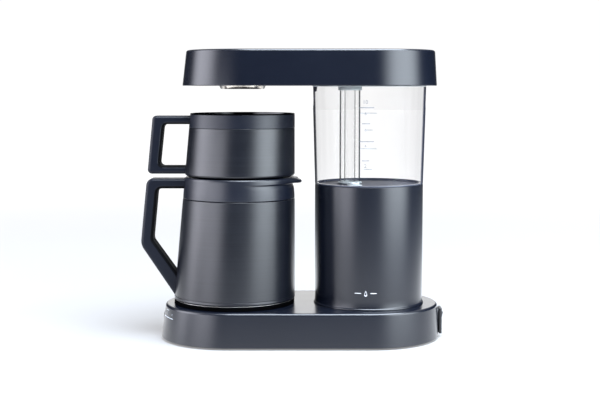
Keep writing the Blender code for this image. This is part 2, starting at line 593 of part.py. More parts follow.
def build_basket(basket, finish):
    low, high = SLEEVE_Z
    bottom = mixed([("fixed", 60.0, low + 1.8), ("fixed", 60.0, low)])
    sleeve = bottom + [(-3.0, low), (-0.9, low + 0.9), (0.0, low + 3.0), (0.0, high), (-1.8, high), (-1.8, low + 4.0),
                       (-3.6, low + 1.8)]
    add("basket_sleeve", vessel(sleeve, closed=True), basket, finish["vessel"])
    low, high = RIM_Z
    rim = [(-0.4, low), (0.15, low + 0.8), (0.15, high - 1.2), (-0.7, high), (-1.8, high), (-2.6, high - 0.9),
           (-2.6, low)]
    add("basket_rim", vessel(rim, closed=True), basket, finish["trim_grey"])
    funnel = [(4.0, 184.5), (6.5, 184.5), (6.5, 187.6), (47.0, 187.6), (49.4, 190.0), (49.4, 198.9), (63.4, 198.9),
              (63.4, 202.6), (51.0, 202.6), (58.6, 264.5), (61.2, 266.0), (61.2, 268.0), (57.6, 268.0), (56.4, 264.0),
              (47.0, 192.4), (45.0, 190.4), (4.0, 190.4)]
    add("basket_funnel", vessel(funnel, closed=True, fixed=True), basket, finish["trim"])

    outline = rounded([(-120.0, 273.8, 0), (-179.2, 273.8, 5), (-186.4, 203.0, 5), (-120.0, 203.0, 0),
                       (-120.0, 212.6, 0), (-171.7, 212.6, 4), (-166.1, 263.4, 4), (-120.0, 263.4, 0)])
    handle = add("basket_handle", slab(outline, HANDLE_DEPTH), basket, finish["trim_grey"])
    bevel(handle, 2.4)
    cut(handle, vessel_cutter(), basket)


def build_finishes():
    return {
        "shell": material("satin_black_paint", (0.030, 0.034, 0.045), 0.42),
        "vessel": material("satin_black_steel", (0.040, 0.044, 0.054), 0.40, 0.4),
        "trim_grey": material("dark_grey_plastic", (0.036, 0.040, 0.052), 0.50),
        "trim": material("black_plastic", (0.012, 0.012, 0.014), 0.45),
        "plate": material("coated_steel", (0.05, 0.05, 0.055), 0.55, 0.5),
        "lid": material("black_lid", (0.028, 0.031, 0.040), 0.50),
        "button": material("button_black", (0.03, 0.03, 0.035), 0.35),
        "rocker": material("rocker_black", (0.010, 0.010, 0.012), 0.15),
        "floor": material("tank_floor_black", (0.035, 0.038, 0.048), 0.15),
        "clear": material("clear_plastic", (0.92, 0.94, 0.95), 0.03, alpha=0.25),
        "silicone": material("milky_silicone", (0.62, 0.66, 0.66), 0.45),
        "rubber": material("black_rubber", (0.015, 0.015, 0.015), 0.80),
        "steel": material("stainless_steel", (0.62, 0.62, 0.60), 0.30, 1.0),
        "polished": material("polished_steel", (0.75, 0.74, 0.72), 0.08, 1.0),
        "casting": material("cast_aluminium", (0.55, 0.56, 0.57), 0.55, 1.0),
        "insulator": material("white_nylon", (0.75, 0.75, 0.72), 0.50),
        "board": material("circuit_board", (0.02, 0.16, 0.07), 0.45),
        "wire": material("wire_sleeve", (0.55, 0.05, 0.03), 0.60),
        "light": material("light_pipe", (0.85, 0.87, 0.88), 0.25),
    }


def main():
    clear_scene()
    finish = build_finishes()
    brewer = Group("brewer", (0, 0, 0))
    brewer.empty.location.x = BREWER_X * MM
    build_base(brewer, finish)
    build_controls(brewer, finish)
    build_electrics(brewer, finish)
    build_heater(brewer, finish)
    build_tank(brewer, finish)
    build_head(brewer, finish)
    carafe = Group("carafe_slide", (VESSEL_X, 0, BASE_TOP), brewer)
    build_carafe(carafe, finish)
    build_basket(Group("basket_lift", (VESSEL_X, 0, SLEEVE_Z[0]), carafe), finish)


main()
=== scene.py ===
"""Looks of a drip coffee brewer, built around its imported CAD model.

Lengths are in millimetres from the middle of the base at the surface it stands on, as in the CAD. place()
turns them into the frame's metres. The front looks to -Y, and the carafe stands at -X.
"""

import math

import bmesh
import bpy
from mathutils import Matrix, Quaternion, Vector


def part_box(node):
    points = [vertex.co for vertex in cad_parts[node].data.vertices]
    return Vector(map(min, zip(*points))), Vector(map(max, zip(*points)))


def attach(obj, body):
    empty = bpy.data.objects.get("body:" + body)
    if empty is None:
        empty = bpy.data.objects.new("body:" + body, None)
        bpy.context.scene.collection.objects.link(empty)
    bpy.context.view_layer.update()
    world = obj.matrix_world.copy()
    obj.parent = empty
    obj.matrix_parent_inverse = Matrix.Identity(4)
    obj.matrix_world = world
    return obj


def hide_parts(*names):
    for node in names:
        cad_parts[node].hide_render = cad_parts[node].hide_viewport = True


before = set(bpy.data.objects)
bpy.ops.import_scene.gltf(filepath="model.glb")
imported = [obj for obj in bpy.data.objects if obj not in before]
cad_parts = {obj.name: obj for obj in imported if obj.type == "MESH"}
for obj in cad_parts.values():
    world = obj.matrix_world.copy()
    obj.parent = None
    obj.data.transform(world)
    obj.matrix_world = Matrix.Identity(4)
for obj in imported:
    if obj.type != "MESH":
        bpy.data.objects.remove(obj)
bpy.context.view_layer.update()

MM = 0.001
TANK_X = 84.7
tower_low, tower_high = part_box("tank_shroud")
SHIFT = (tower_low[0] + tower_high[0]) / 2 / MM - TANK_X  # from the CAD's X to the frame's

ARC = 48  # steps of a stadium's half circle
SIDES = 144  # steps of a large circle
FINE = 48  # steps of a small circle
SPOUT_SIDES = 216  # steps of the collar's rings, which carry the pouring lip

# Middles of the round pieces
TANK = (TANK_X, 0, 0)
RISER = (61.5, 8.0, 0)
RISER_HOLE = (60.4, 8, 0)  # the CAD's riser, for the holes it runs through
OUTLET = (66, -31, 0)
SHOWER = (-70.2, 0, 0)
FILL = (108, 0, 0)  # the middle of the opening over the tank
CORD = (70, 0, 26)
BUTTON = (0, 0, 22)
LEFT, REAR = (-1, 0, 0), (0, 1, 0)  # the ways that the button and the cord outlet point

BASE_Z, BASE_TOP = 2.2, 43.5  # lower edge and top
HEAD_Z, HEAD_TOP = 310.0, 353.0
SKIN = 2.4  # wall of the moulded shells
LIGHT_Z = 34.5  # height of the status lights
LIGHT_TURNS = (14, 23, 32)  # degrees around the base's left end, from its tip to the front
PRINT_LIFT = 0.06  # how far a stroke stands off the base
SCALE_LIFT = 0.08  # how far the scale stands off the tank
FRONT_SIDE, REAR_SIDE = -1, 1
DIGIT_HEIGHT = 0.7  # a digit's height in a font of size 1
MARK_Z = 64.5
HANDLE_DEPTH = 28.0
MOST_SIDEWAYS = 0.93  # a handle's face that looks more to the side than this isn't part of its inner wall


# --------------------------------------------------------------------------------------------------- shaders
def add_node(tree, kind, inputs=None, **settings):
    """Adds a node. Each of its inputs is linked to a socket or set to a value."""
    made = tree.nodes.new(kind)
    for name, value in settings.items():
        setattr(made, name, value)
    for socket, value in (inputs or {}).items():
        if isinstance(value, bpy.types.NodeSocket):
            tree.links.new(value, made.inputs[socket])
        else:
            made.inputs[socket].default_value = value
    return made


class Shader:
    """A Principled material and a few shorthands for its procedural nodes."""

    def __init__(self, name, **sockets):
        self.material = bpy.data.materials.new(name)
        self.material.use_nodes = True
        self.tree = self.material.node_tree
        self.bsdf = self.tree.nodes["Principled BSDF"]
        for socket, value in sockets.items():
            self.bsdf.inputs[socket.replace("_", " ")].default_value = value
        self.place = self.node("ShaderNodeTexCoord").outputs["Object"]

    def node(self, kind, inputs=None, **settings):
        return add_node(self.tree, kind, inputs, **settings)

    def noise(self, scale, detail=3.0, stretch=(1, 1, 1)):
        """Noise over the object, mostly between 0.3 and 0.7."""
        mapped = self.node("ShaderNodeMapping", {"Vector": self.place, "Scale": stretch}).outputs["Vector"]
        values = {"Vector": mapped, "Scale": scale, "Detail": detail}
        return self.node("ShaderNodeTexNoise", values).outputs["Fac"]

    def remap(self, value, low, high, start=0.3, end=0.7):
        """Takes start to low and end to high."""
        values = {"Value": value, "From Min": start, "From Max": end, "To Min": low, "To Max": high}
        return self.node("ShaderNodeMapRange", values).outputs["Result"]

    def blend(self, factor, first, second):
        """Mixes two colours, or sockets that carry them."""
        made = self.node("ShaderNodeMix", data_type="RGBA")
        self.tree.links.new(factor, made.inputs["Factor"])
        for name, colour in (("A", first), ("B", second)):
            socket = next(s for s in made.inputs if s.name == name and s.type == "RGBA")
            if isinstance(colour, bpy.types.NodeSocket):
                self.tree.links.new(colour, socket)
            else:
                socket.default_value = (*colour, 1.0)
        return next(s for s in made.outputs if s.type == "RGBA")

    def total(self, *values):
        result = values[0]
        for value in values[1:]:
            result = self.node("ShaderNodeMath", {0: result, 1: value}, operation="ADD").outputs[0]
        return result

    def product(self, value, factor):
        return self.node("ShaderNodeMath", {0: value, 1: factor}, operation="MULTIPLY").outputs[0]

    def colour(self, socket):
        self.tree.links.new(socket, self.bsdf.inputs["Base Color"])

    def roughness(self, socket):
        self.tree.links.new(socket, self.bsdf.inputs["Roughness"])

    def bump(self, height, distance, strength=1.0):
        made = self.node("ShaderNodeBump", {"Height": height, "Distance": distance, "Strength": strength})
        self.tree.links.new(made.outputs["Normal"], self.bsdf.inputs["Normal"])


def satin_paint():
    """Powder paint: near black with a blue cast, a fine orange peel and a slightly uneven gloss."""
    shader = Shader("satin_paint", Specular_IOR_Level=0.5)
    cloud = shader.noise(14.0)
    fleck = shader.noise(2600.0, 1.0)
    tone = shader.blend(shader.remap(cloud, 0, 1), (0.0018, 0.0030, 0.0070), (0.0024, 0.0037, 0.0082))
    shader.colour(shader.blend(shader.remap(fleck, 0, 0.4, 0.6, 0.8), tone, (0.006, 0.009, 0.016)))
    mottle = shader.total(shader.noise(60.0), shader.product(fleck, 0.3))
    shader.roughness(shader.remap(mottle, 0.245, 0.262, 0.4, 0.9))
    peel = shader.total(shader.noise(900.0, 1.0), shader.product(fleck, 0.35))
    shader.bump(peel, 0.00003, 0.2)
    return shader.material


def vessel_paint():
    """The vessels' coated steel: softer than the paint, with the fine turned lines of the metal under it."""
    shader = Shader("vessel_paint", Specular_IOR_Level=0.5)
    cloud = shader.noise(11.0)
    lines = shader.noise(1.0, 2.0, (6, 6, 900))
    tone = shader.blend(shader.remap(cloud, 0, 1), (0.0008, 0.0014, 0.0036), (0.0014, 0.0021, 0.0048))
    shader.colour(shader.blend(shader.remap(lines, 0, 0.35), tone, (0.009, 0.011, 0.016)))
    mottle = shader.total(shader.noise(45.0), shader.product(lines, 0.4))
    shader.roughness(shader.remap(mottle, 0.29, 0.33, 0.45, 0.95))
    shader.bump(shader.total(shader.product(lines, 0.5), shader.noise(1500.0, 1.0)), 0.00003, 0.30)
    return shader.material


def moulded(name, dark, light, low, high, grain=1300.0, depth=0.00005, strength=0.4, **sockets):
    """Moulded plastic or rubber: a spark-eroded grain, and a tone and gloss that drift a little."""
    shader = Shader(name, **sockets)
    texture = shader.noise(grain, 2.0)
    shader.colour(shader.blend(shader.remap(shader.noise(22.0), 0, 1), dark, light))
    mottle = shader.total(shader.noise(70.0), shader.product(texture, 0.3))
    shader.roughness(shader.remap(mottle, low, high, 0.4, 0.9))
    shader.bump(texture, depth, strength)
    return shader.material


CLEAR_LEAST, CLEAR_MOST = 0.03, 0.95  # how opaque a clear wall is where it faces, and at most
CLEAR_EDGE = 0.9  # how much its edges add to that


def clear_wall(name, tint, edge, start, end, reflection_grey):
    """A clear plastic wall: open where it faces, greyer by painted reflection in vertical streaks as it turns
    away, and painted dark where its thickness is seen end on, which sets in at start and is full at end."""
    shader = Shader(name, Roughness=0.05, IOR=1.49)
    tilt = shader.node("ShaderNodeLayerWeight", {"Blend": 0.5}).outputs["Facing"]
    steep = shader.node("ShaderNodeMapRange", {"Value": tilt, "From Min": start, "From Max": end},
                        interpolation_type="SMOOTHSTEP").outputs["Result"]
    # Painted reflection: vertical streaks of grey that grow as the wall turns away.
    reflection_streaks = shader.remap(shader.noise(1.0, 2.0, (60, 60, 1.5)), 0.7, 1.3)
    root = shader.node("ShaderNodeMath", {0: tilt, 1: 0.6}, operation="POWER").outputs[0]
    soft = shader.product(shader.product(root, reflection_grey), reflection_streaks)
    total = shader.total(shader.product(steep, CLEAR_EDGE), soft, CLEAR_LEAST)
    clamped = shader.node("ShaderNodeClamp", {"Value": total, "Max": CLEAR_MOST}).outputs["Result"]
    shader.tree.links.new(clamped, shader.bsdf.inputs["Alpha"])
    # Painted dark edge: the colour turns from the tint to the edge colour where the wall is seen end on.
    shader.colour(shader.blend(steep, tint, edge))
    return shader.material


def metal(name, dark, light, low, high, scale, stretch, depth=0.00002):
    """Metal with a grain: stretched noise is brushed or drawn, and even noise is cast."""
    shader = Shader(name, Metallic=1.0)
    grain = shader.noise(scale, 4.0, stretch)
    shader.colour(shader.blend(shader.remap(grain, 0, 1), dark, light))
    mottle = shader.total(grain, shader.product(shader.noise(30.0), 0.5))
    shader.roughness(shader.remap(mottle, low, high, 0.4, 1.0))
    shader.bump(grain, depth, 0.4)
    return shader.material


def circuit_board():
    """Green solder mask with copper tracks and silvery pads."""
    shader = Shader("circuit_board")
    cells = {"Vector": shader.place, "Scale": 260.0}
    pads = shader.node("ShaderNodeTexVoronoi", cells, feature="F1", distance="CHEBYCHEV").outputs["Distance"]
    tracks = shader.node("ShaderNodeTexBrick", {"Vector": shader.place, "Scale": 120.0}).outputs["Fac"]
    mask = shader.blend(tracks, (0.012, 0.090, 0.035), (0.030, 0.170, 0.070))
    shader.colour(shader.blend(shader.remap(pads, 1, 0, 0.10, 0.13), mask, (0.62, 0.60, 0.52)))
    shader.roughness(shader.remap(shader.noise(90.0), 0.25, 0.45))
    shader.bump(tracks, 0.00003, 0.5)
    return shader.material


def woven_sleeve():
    """Braided sleeve over the wiring."""
    shader = Shader("woven_sleeve")
    weave = shader.node("ShaderNodeTexChecker", {"Vector": shader.place, "Scale": 1500.0}).outputs["Fac"]
    shader.colour(shader.blend(weave, (0.30, 0.02, 0.015), (0.48, 0.05, 0.03)))
    shader.roughness(shader.remap(shader.noise(200.0), 0.6, 0.85))
    shader.bump(weave, 0.0002, 0.6)
    return shader.material


def printing(name, colour):
    """Thin screen printing, a little worn in places."""
    shader = Shader(name)
    faded = tuple(min(1.0, value * 1.35 + 0.02) for value in colour)
    shader.colour(shader.blend(shader.remap(shader.noise(500.0), 0, 1), colour, faded))
    shader.roughness(shader.remap(shader.noise(300.0), 0.4, 0.6))
    return shader.material


FINISH = {
    "paint": satin_paint(),
    "vessel": vessel_paint(),
    "grey": moulded("handle_plastic", (0.0022, 0.0036, 0.0085), (0.0034, 0.0050, 0.0110), 0.30, 0.35),
    "band": moulded("band_plastic", (0.0022, 0.0036, 0.0085), (0.0034, 0.0050, 0.0110), 0.34, 0.40,
                    Specular_IOR_Level=0.36),
    "grip": moulded("grip_plastic", (0.0020, 0.0034, 0.0080), (0.0028, 0.0044, 0.0098), 0.34, 0.40,
                    Specular_IOR_Level=0.20),
    # Near-lightless black: black plastic that also carries painted shade, in the carafe's foot band, the
    # funnel seen in the gap above the collar and the basket's inner lip.
    "shadow": moulded("black_and_painted_shade", (0.0003, 0.0003, 0.0004), (0.0008, 0.0008, 0.0010), 0.85, 0.97,
                      Specular_IOR_Level=0.01),
    "black": moulded("black_plastic", (0.006, 0.006, 0.008), (0.010, 0.010, 0.012), 0.40, 0.55),
    # Painted shade: a darker, matte grip plastic for the handles' walls inside their openings.
    "inside": moulded("grip_painted_shade", (0.0004, 0.0005, 0.0009), (0.0009, 0.0010, 0.0016), 0.70, 0.85,
                      Specular_IOR_Level=0.08),
    "lining": moulded("basket_lining", (0.0020, 0.0020, 0.0026), (0.0030, 0.0030, 0.0036), 0.08, 0.12, 300.0,
                      0.00001, 0.2, Specular_IOR_Level=0.35),
    "floor": moulded("tank_floor", (0.0030, 0.0090, 0.0240), (0.0050, 0.0120, 0.0300), 0.44, 0.52, 60.0,
                     0.0002, 0.25, Specular_IOR_Level=0.06),
    "clear": clear_wall("clear_tank", (0.07, 0.065, 0.085), (0.010, 0.014, 0.030), 0.66, 0.79, 0.15),
    "tube": clear_wall("clear_tube", (0.10, 0.11, 0.12), (0.026, 0.032, 0.040), 0.40, 0.66, 0.06),
    "clear_edge": moulded("clear_edge", (0.030, 0.036, 0.055), (0.045, 0.052, 0.075), 0.05, 0.12, 200.0,
                          0.00001, 0.1),
    "silicone": moulded("milky_silicone", (0.30, 0.335, 0.34), (0.38, 0.41, 0.415), 0.35, 0.5, 400.0),
    "rubber": moulded("black_rubber", (0.010, 0.010, 0.010), (0.016, 0.016, 0.016), 0.75, 0.9, 800.0,
                      0.0001, 0.5),
    "nylon": moulded("white_nylon", (0.52, 0.56, 0.57), (0.62, 0.66, 0.67), 0.35, 0.5, 700.0),
    "coated": moulded("coated_steel", (0.03, 0.03, 0.034), (0.045, 0.045, 0.05), 0.45, 0.6, 500.0, 0.0001),
    "steel": metal("brushed_steel", (0.48, 0.47, 0.46), (0.66, 0.65, 0.63), 0.22, 0.36, 1.0, (20, 20, 1400)),
    "dish": metal("shower_steel", (0.66, 0.60, 0.53), (0.78, 0.72, 0.65), 0.12, 0.20, 60.0, (1, 1, 1),
                  0.000005),
    "casting": metal("cast_aluminium", (0.42, 0.43, 0.44), (0.60, 0.61, 0.62), 0.45, 0.65, 500.0, (1, 1, 1),
                     0.0002),
    "board": circuit_board(),
    "sleeve": woven_sleeve(),
    "light": moulded("light_pipe", (0.060, 0.066, 0.076), (0.080, 0.088, 0.098), 0.2, 0.3, 300.0, 0.00002),
    "print": printing("scale_print", (0.13, 0.14, 0.16)),
    # Pale print, also used for the painted shadow of the tank's scale on its rear wall.
    "ghost": printing("pale_print_and_painted_shadow", (0.50, 0.56, 0.62)),
    "white_print": printing("white_print", (0.62, 0.63, 0.66)),
}


# -------------------------------------------------------------------------------------------------- geometry
def place(point):
    """A point in millimetres in the frame's metres."""
    return Vector(((point[0] + SHIFT) * MM, point[1] * MM, point[2] * MM))


def object_of(name, bm):
    """Turns a bmesh in millimetres into an object in the frame's metres."""
    for vertex in bm.verts:
        vertex.co = place(vertex.co)
    bmesh.ops.recalc_face_normals(bm, faces=bm.faces)
    mesh = bpy.data.meshes.new(name)
    bm.to_mesh(mesh)
    bm.free()
    obj = bpy.data.objects.new(name, mesh)
    bpy.context.scene.collection.objects.link(obj)
    return obj


def piece(name, bm, body, finish, stands_for=(), smooth=True):
    """Makes a piece of a bmesh, gives it its finish and lets it ride on its body."""
    obj = object_of(name, bm)
    obj.data.materials.append(FINISH[finish])
    if smooth:
        obj.data.shade_smooth()
    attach(obj, body)
    if stands_for:
        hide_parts(*stands_for)
    return obj


def mark_edges(obj, angle=50):
    """Keeps the edges crisp that turn by more than the angle, in degrees."""
    obj.data.set_sharp_from_angle(angle=math.radians(angle))


def weighted(obj):
    """Keeps flats flat next to the small rounds around them. Added last."""
    modifier = obj.modifiers.new("normals", "WEIGHTED_NORMAL")
    modifier.keep_sharp = True
    modifier.weight = 100
    return obj


def cut(obj, bm):
    """Cuts a shape out for good."""
    tool = object_of("cutter", bm)
    modifier = obj.modifiers.new("cut", "BOOLEAN")
    modifier.object = tool
    modifier.operation = "DIFFERENCE"
    settle(obj)
    bpy.data.objects.remove(tool)


def opened(bm):
    """Takes the caps off both ends of a skin."""
    bmesh.ops.delete(bm, geom=[face for face in bm.faces if len(face.verts) > 4], context="FACES_ONLY")
    return bm


def settle(obj):
    """Applies an object's modifiers."""
    bpy.context.view_layer.update()
    evaluated = obj.evaluated_get(bpy.context.evaluated_depsgraph_get())
    mesh = bpy.data.meshes.new_from_object(evaluated)
    obj.modifiers.clear()
    obj.data = mesh


def bevel(obj, width, segments, angle=40):
    modifier = obj.modifiers.new("bevel", "BEVEL")
    modifier.width = width * MM
    modifier.segments = segments
    modifier.limit_method = "ANGLE"
    modifier.angle_limit = math.radians(angle)
    modifier.harden_normals = False


def strip(bm, low, high, closed=False):
    """Faces between two rows of vertices. With closed the rows run all the way round."""
    for i in range(len(low) if closed else len(low) - 1):
        j = (i + 1) % len(low)
        bm.faces.new((low[i], low[j], high[j], high[i]))


def skin(rings, closed=False, bm=None):
    """Faces between equal rings, in bm or a new bmesh. The ends are capped, or with closed the last ring
    meets the first."""
    bm = bm or bmesh.new()
    loops = [[bm.verts.new(point) for point in ring] for ring in rings]
    pairs = list(zip(loops, loops[1:]))
    if closed:
        pairs.append((loops[-1], loops[0]))
    else:
        bm.faces.new(loops[0])
        bm.faces.new(loops[-1])
    for low, high in pairs:
        strip(bm, low, high, True)
    return bm


MOST_OF_SIDE = 0.49  # how much of a side one corner's arc may take


def rounded(corners, steps=5, loop=True):
    """An outline of (x, z) or (x, z, radius) corners, with each radius turned into an arc. Without loop the
    first and the last corner stay sharp."""
    points = []
    for i, corner in enumerate(corners):
        here = Vector(corner[:2])
        radius = corner[2] if len(corner) > 2 else 0.0
        if not radius or (not loop and i in (0, len(corners) - 1)):
            points.append(here)
            continue
        before, after = (Vector(corners[k % len(corners)][:2]) - here for k in (i - 1, i + 1))
        half = before.angle(after) / 2
        reach = min(radius / math.tan(half), before.length * MOST_OF_SIDE, after.length * MOST_OF_SIDE)
        radius = reach * math.tan(half)
        start, end = here + before.normalized() * reach, here + after.normalized() * reach
        centre = here + (before.normalized() + after.normalized()).normalized() * (radius / math.sin(half))
        sweep = (start - centre).angle_signed(end - centre)
        for k in range(steps + 1):
            arm = (start - centre).copy()
            arm.rotate(Matrix.Rotation(-sweep * k / steps, 2))
            points.append(centre + arm)
    return points


def circle(radius, z, sides=SIDES, centre=(0.0, 0.0)):
    """A level circle."""
    turns = [2 * math.pi * i / sides for i in range(sides)]
    return [Vector((centre[0] + radius * math.cos(a), centre[1] + radius * math.sin(a), z)) for a in turns]


def turned(corners, at=(0, 0, 0), sides=SIDES, axis=(0, 0, 1), closed=False, steps=5, bm=None):
    """A round piece about an axis through at, from (radius, height) or (radius, height, corner radius)."""
    aim = Matrix.Translation(at) @ Vector(axis).to_track_quat("Z", "Y").to_matrix().to_4x4()
    profile = rounded(corners, steps, closed)
    return skin([[aim @ point for point in circle(r, z, sides)] for r, z in profile], closed, bm)


def stadium(left, right, half, z):
    """A level stadium from its two ends and half its width."""
    points = []
    for centre_x, start in ((right - half, -math.pi / 2), (left + half, math.pi / 2)):
        for i in range(ARC + 1):
            a = start + math.pi * i / ARC
            points.append(Vector((centre_x + half * math.cos(a), half * math.sin(a), z)))
    return points


def box(low, high, bm=None):
    corners = ((low[0], low[1]), (high[0], low[1]), (high[0], high[1]), (low[0], high[1]))
    return skin([[Vector((x, y, z)) for x, y in corners] for z in (low[2], high[2])], bm=bm)


def slab(outline, depth):
    """An outline in the XZ plane made into a plate that is centred on Y."""
    return skin([[Vector((x, y, z)) for x, z in outline] for y in (-depth / 2, depth / 2)])


def smooth_rows(rows, per_span):
    """A Catmull-Rom curve through rows of numbers."""

    def beyond(end, next_to_end):
        return [2 * a - b for a, b in zip(end, next_to_end)]

    def between(p, q, r, s, t):
        square, cube = 2 * p - 5 * q + 4 * r - s, 3 * q - p - 3 * r + s
        return 0.5 * (2 * q + (r - p) * t + square * t**2 + cube * t**3)

    padded = [beyond(rows[0], rows[1]), *rows, beyond(rows[-1], rows[-2])]
    found = []
    for four in zip(padded, padded[1:], padded[2:], padded[3:]):
        for i in range(per_span):
            found.append([between(*values, i / per_span) for values in zip(*four)])
    return [*found, list(rows[-1])]


# ------------------------------------------------------------------------------------------------------ base
def base_ring(z, inset=0.0):
    """The base's outline at a height. Its walls lean in, the left end the most."""
    rise = z - BASE_Z
    left = -171.5 + 0.138 * rise + inset
    right = 171.5 - 0.050 * rise - inset
    return stadium(left, right, 86.98 - 0.078 * rise - inset, z)


def base_end(z):
    """The middle and the radius of the base's left end at a height."""
    rise = z - BASE_Z
    radius = 87.0 - 0.078 * rise
    return -171.5 + 0.138 * rise + radius, radius


def head_ring(z, inset=0.0):
    """The head's outline at a height. Its walls lean in like the base's."""
    rise = z - HEAD_Z
    left = -143.3 + 0.119 * rise + inset
    right = 166.8 - 0.061 * rise - inset
    return stadium(left, right, 82.0 - 0.076 * rise - inset, z)


def shell(ring, bottom, top, edge, fillet):
    """A stadium shell that is open below."""
    corners = [(SKIN + 3, top - SKIN), (SKIN, top - SKIN, 1.5), (SKIN, bottom, 0.4), (0, bottom, edge),
               (0, top, fillet), (8, top)]
    return skin([ring(z, inset) for inset, z in rounded(corners, 8, False)])


def light_places():
    """(point on the base's skin, outward direction) at each status light."""
    middle, radius = base_end(LIGHT_Z)
    found = []
    for degrees in LIGHT_TURNS:
        a = math.radians(180 + degrees)
        direction = Vector((math.cos(a), math.sin(a), 0))
        found.append((Vector((middle, 0, LIGHT_Z)) + direction * radius, direction))
    return found


def build_base():
    housing = piece("base_skin", shell(base_ring, BASE_Z, BASE_TOP, 0.9, 3.0), "brewer", "paint",
                    ["base_housing"])
    holes = turned([(9.4, 155), (9.4, 176)], BUTTON, FINE, LEFT)
    for spot, direction in light_places():
        turned([(1.7, -6), (1.7, 4)], spot, 16, direction, bm=holes)
    box((160, -7.6, 6.2), (180, 7.6, 35.6), holes)
    turned([(6, 76), (6, 92)], CORD, FINE, REAR, bm=holes)
    cut(housing, holes)
    mark_edges(housing)
    weighted(housing)

    button = [(10.4, 162.4, 0.3), (10.4, 163.7, 0.3), (9.0, 163.7), (9.0, 168.3, 0.7), (7.4, 168.3, 0.6),
              (6.2, 167.8)]
    weighted(piece("start_button_cap", turned(button, BUTTON, FINE, LEFT), "start_button", "black",
                   ["start_button"]))
    for number, (spot, direction) in enumerate(light_places(), 1):
        pipe = turned([(1.5, -6.5), (1.5, 0.2, 0.4), (0.8, 0.45)], spot, 20, direction)
        piece(f"light_pipe_{number}", pipe, "brewer", "light", [f"status_light_{number}"])
    foot = [(2.5, 0.5, 0.3), (6.8, 0.0, 0.6), (8.0, 0.3, 0.8), (8.0, 3.7)]
    for number, (x, y) in enumerate(((-130, -40), (-130, 40), (130, -40), (130, 40)), 1):
        piece(f"rubber_foot_{number}", turned(foot, (x, y, 0), FINE), "brewer", "rubber", [f"foot_{number}"])


def build_prints():
    """A thin stroke below the status lights and one above them."""
    steps = 12
    strokes = ((29.7, 30.2, 193, 214), (38.4, 38.8, 199, 205))  # low and high edge, start and end in degrees
    for number, (low, high, start, end) in enumerate(strokes, 1):
        bm = bmesh.new()
        rows = []
        for z in (low, high):
            middle, radius = base_end(z)
            r = radius + PRINT_LIFT
            turns = [math.radians(start + (end - start) * i / steps) for i in range(steps + 1)]
            rows.append([bm.verts.new((middle + r * math.cos(a), r * math.sin(a), z)) for a in turns])
        strip(bm, *rows)
        piece(f"light_legend_{number}", bm, "brewer", "ghost")


def build_switch():
    plate = piece("switch_bezel", box((171.9, -9.5, 4.7), (175.3, 9.5, 36.4)), "brewer", "black",
                  ["power_switch_body"])
    cut(plate, box((170.0, -6.2, 7.4), (180.0, 6.2, 34.4)))
    bevel(plate, 0.7, 3)
    well = piece("switch_well", box((166.0, -7.4, 6.4), (171.9, 7.4, 35.4)), "brewer", "black")
    cut(well, box((166.5, -6.2, 7.4), (180.0, 6.2, 34.4)))
    corners = [(169.4, 9.0), (173.6, 8.0, 1.2), (174.9, 19.5, 8), (177.2, 32.2, 1.6), (170.6, 32.0)]
    rocker = piece("rocker_cap", slab(rounded(corners, 6), 11.6), "power_rocker", "black", ["power_rocker"])
    bevel(rocker, 0.6, 3, 30)
    for obj in (plate, rocker):
        mark_edges(obj, 60)
        weighted(obj)


def build_cord_outlet():
    ring = [(3.4, 80.3, 0.3), (7.6, 80.3, 0.4), (7.6, 81.7, 0.3), (5.8, 81.7), (5.8, 86.0), (7.6, 86.0, 0.3),
            (7.2, 86.9, 0.5), (3.4, 86.9, 0.5)]
    piece("cord_bush", turned(ring, CORD, FINE, REAR, True), "brewer", "rubber", ["cord_grommet"])


# ----------------------------------------------------------------------------------------------------- tower
def tank_radius(z):
    """The clear tank widens upwards."""
    return 66.3 + 3.1 * (z - 190.7) / 118.0


def build_shroud():
    """The tower's lower half. A small bead runs around its foot."""
    turns = [math.radians(14 * i) for i in range(6)]
    bead = [(66.0 + 1.7 * math.cos(a), 44.2 + 1.7 * math.sin(a)) for a in turns]
    outside = [(67.7, 43.8, 0.2), *bead, (66.48, 46.6), (66.38, 47.8), (66.24, 49.6), (66.12, 52.0),
               (66.05, 55.0), (66.3, 190.4, 0.5)]
    inside = [(64.7, 190.4, 0.3), (64.7, 175.6), (60.5, 175.6), (60.5, 173.6), (64.4, 171.0), (64.4, 43.8)]
    weighted(piece("shroud_skin", turned(outside + inside, TANK, closed=True), "brewer", "paint",
                   ["tank_shroud"]))


def build_tank():
    floor = [(64.3, 175.9), (64.3, 179.5), (61.5, 179.5), (61.5, 190.0, 0.7), (57.6, 190.0, 0.4),
             (57.0, 189.7, 0.4), (20, 189.6)]
    dish = piece("tank_dish", turned(floor, TANK), "brewer", "floor", ["tank_floor"])
    ports = turned([(4.2, 170), (4.2, 200)], OUTLET, FINE)
    turned([(6.4, 170), (6.4, 200)], RISER_HOLE, FINE, bm=ports)
    cut(dish, ports)
    mark_edges(dish)
    weighted(dish)

    rings = [circle(tank_radius(z), z, SIDES, (TANK_X, 0)) for z in (191.6, 230.0, 270.0, 308.7)]
    piece("clear_tank", opened(skin(rings)), "brewer", "clear", ["tank_wall"])
    foot = [(62.2, 179.8), (64.2, 179.8), (64.2, 190.7), (66.3, 190.7, 0.4), (66.35, 192.2, 0.3),
            (64.2, 192.4, 0.6), (62.2, 190.6, 0.6)]
    weighted(piece("clear_tank_foot", turned(foot, TANK, closed=True), "brewer", "clear_edge"))
    turns = [math.radians(171 + 2 * i) for i in range(10)]
    rings = []
    for z, inner in ((302.8, 66.6), (303.6, 65.2), (309.6, 64.6)):
        arc = [(68.6, a) for a in turns] + [(inner, a) for a in reversed(turns)]
        rings.append([Vector((TANK_X + r * math.cos(a), r * math.sin(a), z)) for r, a in arc])
    piece("tank_key", skin(rings), "brewer", "grip", smooth=False)
    seal = [(66.9, 309.0, 0.3), (69.3, 309.0, 0.3), (69.3, 310.0), (66.9, 310.0)]
    piece("top_seal", turned(seal, TANK, closed=True), "brewer", "silicone", ["tank_top_seal"])


